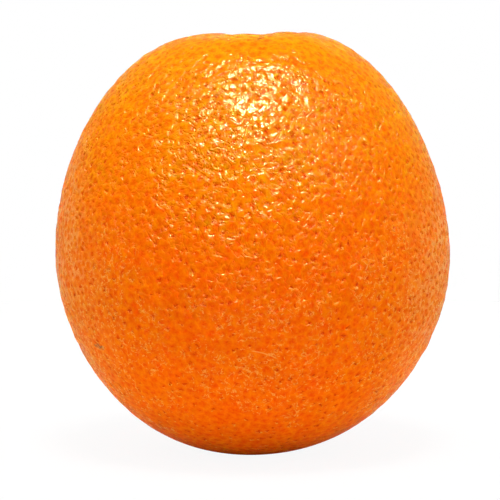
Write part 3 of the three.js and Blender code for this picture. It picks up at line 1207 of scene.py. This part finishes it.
@dataclass
class StemButton:
    """The dried star of sepals, with the cut end of the twig standing in its middle.

    It lies on the floor of the stem cavity and follows it. Lengths are in metres.
    """

    form: FruitForm
    reach: float = 3.35 * MM  # from the stem to the tip of a sepal
    reach_share: float = 0.93  # of the reach, before the edge's waves
    sepals: int = 5
    notch: float = 0.30  # share of the reach lost between two sepals
    notch_power: float = 0.8  # below 1, the notches are narrow and the sepals broad
    edge_waves: tuple[Wave, ...] = (
        Wave(0.06, 2.0, 0.7), Wave(0.05, 3.0, 2.1), Wave(0.018, 23.0, 0.4), Wave(0.012, 41.0),
    )
    twig_radius: float = 1.3 * MM
    twig_height: float = 0.60 * MM  # its rim, above the sepals' root
    bark_waves: tuple[Wave, ...] = (Wave(0.05, 7.0, 1.0), Wave(0.04, 12.0))
    hollow: float = 0.62  # share of the twig's radius that is hollow
    cut_depth: float = 0.30 * MM  # of the twig's hollow end
    cut_curve: float = 0.35  # share of that depth that its floor rises by
    rim_fall: float = 0.10 * MM  # how far the rim rounds off
    foot: float = 0.55  # share of the twig's radius over which it falls to the sepals
    sepal_thickness: float = 0.26 * MM
    sepal_thinning: float = 0.45  # share of that lost at the edge
    rib_height: float = 0.10 * MM
    rib_power: int = 6
    crimp: Wave = Wave(0.035 * MM, 16.0)
    crimp_twist: float = 9.0
    curl: float = 0.12 * MM
    curl_start: float = 0.72
    curl_wave: Wave = Wave(0.5, 2.0, 1.3)
    set_in: float = 0.45 * MM  # how deep its underside is in the rind
    under_rings: tuple[tuple[float, float], ...] = ((0.97, 0.25), (0.80, 1.0))
    segments: int = 150
    rings: int = 30

    def lobe(self, turn: float) -> float:
        """Gives 1 along a sepal's middle and 0 between two sepals."""
        return abs(math.sin(0.5 * self.sepals * turn))

    def outline(self, turn: float) -> float:
        """Finds how far the star reaches in a heading.

        Args:
            turn: The heading, in radians.

        Returns:
            The distance from the stem.
        """
        lost = self.notch * (1.0 - self.lobe(turn) ** self.notch_power)
        return self.reach * (self.reach_share - lost + sum(w.at(turn) for w in self.edge_waves))

    def twig(self, out: float, turn: float) -> float:
        """Finds how high the twig's cut end stands above the sepals' root.

        Args:
            out: The distance from the stem.
            turn: The heading, in radians.

        Returns:
            The height: a hollow, then the rim, then the fall to the sepals.
        """
        rim = self.twig_radius * (1.0 + sum(wave.at(turn) for wave in self.bark_waves))
        if out < self.hollow * rim:
            curve = self.cut_curve * (out / (self.hollow * rim)) ** 2
            return self.twig_height - self.cut_depth * (1.0 - curve)
        if out < rim:
            up = (out / rim - self.hollow) / (1.0 - self.hollow)
            left = self.cut_depth * (1.0 - self.cut_curve) * (1.0 - up) ** 1.5
            return self.twig_height - left - self.rim_fall * up ** 4
        fall = min((out - rim) / (self.foot * rim), 1.0)
        return (self.twig_height - self.rim_fall) * (1.0 - fall * fall * (3.0 - 2.0 * fall))

    def thickness(self, share: float, turn: float) -> float:
        """Finds how high the button stands above the cavity's floor.

        Args:
            share: 0 at the stem and 1 at the star's edge.
            turn: The heading, in radians.

        Returns:
            The height.
        """
        twig = self.twig(share * self.outline(turn), turn)
        rib = self.rib_height * self.lobe(turn) ** self.rib_power * 4.0 * share * (1.0 - share)
        twisted = turn + self.crimp_twist * share / self.crimp.count
        crimp = self.crimp.at(twisted) * share
        lifted = max(0.0, share - self.curl_start) / (1.0 - self.curl_start)
        curl = self.curl * lifted * (0.5 + self.curl_wave.at(turn))
        sepal = self.sepal_thickness * (1.0 - self.sepal_thinning * share)
        return sepal + twig + rib + crimp + curl

    def build(self, material: Material) -> Object:
        """Makes the button.

        Args:
            material: The button's material.

        Returns:
            The button.
        """
        work = bmesh.new()
        floor = self.form.floor_under_button()
        shares = [ring / self.rings for ring in range(1, self.rings + 1)]
        loops = [self.loop(work, floor, share, None) for share in shares]
        for share, sunk in self.under_rings:
            loops.append(self.loop(work, floor, share, sunk * self.set_in))
        root = floor(0.0, 0.0)
        middle = work.verts.new(root + Vector((0.0, 0.0, self.thickness(0.0, 0.0))))
        under = work.verts.new(root - Vector((0.0, 0.0, self.set_in)))
        for step in range(self.segments):
            after = (step + 1) % self.segments
            work.faces.new((middle, loops[0][step], loops[0][after]))
            for inner, outer in zip(loops, loops[1:]):
                work.faces.new((inner[step], outer[step], outer[after], inner[after]))
            work.faces.new((under, loops[-1][after], loops[-1][step]))
        bmesh.ops.recalc_face_normals(work, faces=work.faces)
        for face in work.faces:
            face.smooth = True
        mesh = new_mesh("stem_button", work)
        mesh.materials.append(material)
        button = new_object("stem_button", mesh)
        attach(button, BODY)
        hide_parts(FRUIT_NODE)
        return button

    def loop(self, work: bmesh.types.BMesh, floor: Callable[[float, float], Vector],
             share: float, below: float | None) -> list[bmesh.types.BMVert]:
        """Adds one ring of the star's vertices.

        Args:
            work: The mesh being made.
            floor: Gives the cavity's floor at a place beside the stem.
            share: The ring's share of the way to the star's edge.
            below: How far under the floor the ring lies, or None for the top side.

        Returns:
            The ring's vertices in order.
        """
        ring = []
        for step in range(self.segments):
            turn = 2.0 * math.pi * step / self.segments
            out = share * self.outline(turn)
            height = self.thickness(share, turn) if below is None else -below
            place = floor(out * math.cos(turn), out * math.sin(turn))
            ring.append(work.verts.new(place + Vector((0.0, 0.0, height))))
        return ring


# The stage


@dataclass(frozen=True)
class Lamp:
    """A round lamp that faces the fruit. Its width is in metres and its power in watts."""

    name: str
    width: float
    power: float
    turn: float = math.radians(4.6)  # how far to +X of the fruit's front it stands
    elevation: float = math.radians(72.0)
    shines_on_matt: bool = False  # whether matt surfaces are lit too, or only gloss mirrors it


@dataclass
class Stage:
    """A pale round floor, a wide soft lamp overhead and an even pale surround.

    The other lamps shine only where the skin is glossy: a wide soft one at the same place, its
    small hot middle, and one at the right.
    """

    form: FruitForm
    floor_radius: float = 0.5
    floor_segments: int = 96
    floor_colour: Colour = (0.95, 0.95, 0.95)
    floor_glow: float = 0.92  # share of the seen floor that is plain white
    floor_fade: Ramp = Ramp(0.175, 0.475)  # distances over which it turns clear
    floor_shadow: tuple[float, float] = (0.2, 1.5)  # shares of the fruit's radius
    lamp_distance: float = 2.0
    lamps: tuple[Lamp, ...] = (
        Lamp("overhead_lamp", 0.6, 23.5, shines_on_matt=True),
        Lamp("gloss_lamp", 1.0, 2350.0),
        Lamp("hot_lamp", 0.26, 120.0),
        Lamp("right_lamp", 0.24, 150.0, math.radians(78.0), math.radians(46.0)),
    )
    surround: float = 0.69

    def build(self) -> None:
        """Makes the floor, the lamps and the surround."""
        self.floor()
        for lamp in self.lamps:
            self.hang(lamp)
        self.world()

    def floor(self) -> None:
        """Lays a disc under the fruit that fades out into the white surround.

        Close to where the fruit stands, gloss mirrors the floor's real shadow.
        """
        work = bmesh.new()
        bmesh.ops.create_circle(work, cap_ends=True, segments=self.floor_segments,
                                radius=self.floor_radius)
        floor = new_object("floor", new_mesh("floor", work))
        material, nodes, output = bare_material("floor")
        place = nodes.add("ShaderNodeTexCoord").outputs["Object"]
        away = nodes.vector("LENGTH", place)
        ray = nodes.add("ShaderNodeLightPath").outputs
        mirrored = nodes.math("MAXIMUM", ray["Is Glossy Ray"], ray["Is Transmission Ray"])
        near, far = (share * self.form.radius for share in self.floor_shadow)
        mirrored = nodes.product(mirrored, nodes.ease(away, Ramp(near, far)))
        seen = nodes.math("MAXIMUM", ray["Is Camera Ray"], mirrored)
        plain = nodes.add("ShaderNodeBsdfDiffuse", {"Color": (*self.floor_colour, 1.0)})
        white = nodes.add("ShaderNodeEmission", {"Strength": 1.0})
        pale = nodes.add("ShaderNodeMixShader", {"Fac": nodes.product(seen, self.floor_glow)})
        nodes.feed(pale.inputs[1], plain.outputs[0])
        nodes.feed(pale.inputs[2], white.outputs[0])
        clear = nodes.add("ShaderNodeBsdfTransparent")
        fade = nodes.ease(away, self.floor_fade)
        mixed = nodes.add("ShaderNodeMixShader", {"Fac": fade})
        nodes.feed(mixed.inputs[1], pale.outputs[0])
        nodes.feed(mixed.inputs[2], clear.outputs[0])
        nodes.feed(output.inputs["Surface"], mixed.outputs[0])
        floor.data.materials.append(material)

    def hang(self, lamp: Lamp) -> None:
        """Puts a lamp at its place above the fruit.

        Args:
            lamp: The lamp.
        """
        data = bpy.data.lights.new(lamp.name, "AREA")
        data.shape = "DISK"
        data.size = lamp.width
        data.energy = lamp.power
        hung = new_object(lamp.name, data)
        level = math.cos(lamp.elevation)
        towards = Vector((math.sin(lamp.turn) * level, -math.cos(lamp.turn) * level,
                          math.sin(lamp.elevation)))
        hung.location = self.lamp_distance * towards
        hung.rotation_mode = "QUATERNION"
        aim = self.form.middle - hung.location
        hung.rotation_quaternion = aim.to_track_quat("-Z", "Y")
        hung.visible_diffuse = lamp.shines_on_matt

    def world(self) -> None:
        """Makes an even surround, which the eye and reflections see as white."""
        world = bpy.data.worlds.new("surround")
        world.use_nodes = True
        world.node_tree.nodes.clear()
        nodes = Nodes(world.node_tree)
        ray = nodes.add("ShaderNodeLightPath").outputs
        seen = nodes.math("MAXIMUM", ray["Is Camera Ray"], ray["Is Glossy Ray"])
        seen = nodes.math("MAXIMUM", seen, ray["Is Transmission Ray"])
        strength = nodes.scaled(seen, 1.0 - self.surround, self.surround)
        inputs = {"Color": (1.0, 1.0, 1.0, 1.0), "Strength": strength}
        sky = nodes.add("ShaderNodeBackground", inputs)
        output = nodes.add("ShaderNodeOutputWorld")
        nodes.feed(output.inputs["Surface"], sky.outputs[0])
        bpy.context.scene.world = world


@dataclass
class Viewpoint:
    """The camera: in front of the fruit, a little above its middle."""

    form: FruitForm
    elevation: float = math.radians(5.0)
    distance: float = 0.42
    sensor: float = 36.0
    frame_width: float = 91.2 * MM  # what the picture is wide at the fruit
    aside: float = -0.4 * MM  # where the camera aims, from the fruit's middle
    below: float = -1.3 * MM
    nearest: float = 0.01  # what the camera sees, from here
    farthest: float = 20.0  # to here

    def build(self) -> None:
        """Makes the camera."""
        data = bpy.data.cameras.new("camera")
        data.sensor_width = self.sensor
        data.lens = self.sensor * self.distance / self.frame_width
        data.clip_start = self.nearest
        data.clip_end = self.farthest
        camera = new_object("camera", data)
        back = Vector((0.0, -math.cos(self.elevation), math.sin(self.elevation)))
        aim = self.form.middle + Vector((self.aside, 0.0, self.below))
        camera.location = aim + self.distance * back
        camera.rotation_mode = "QUATERNION"
        camera.rotation_quaternion = (-back).to_track_quat("-Z", "Y")
        bpy.context.scene.camera = camera


def report(piece: Object) -> None:
    """Logs a piece's name and how many triangles it has."""
    piece.data.calc_loop_triangles()
    log.info("%s: %d triangles", piece.name, len(piece.data.loop_triangles))


def main() -> None:
    """Builds the fruit and its stage."""
    logging.basicConfig(level=logging.INFO, format="%(name)s: %(message)s")
    form = FruitForm(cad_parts[FRUIT_NODE])
    Viewpoint(form).build()
    Stage(form).build()
    grain = grain_group()
    report(Rind(form).build(RindPaint(RindFinish(), grain).build()))
    report(StemButton(form).build(ButtonFinish().material(grain)))
    bpy.context.scene.view_settings.view_transform = "Standard"


if __name__ == "__main__":
    main()
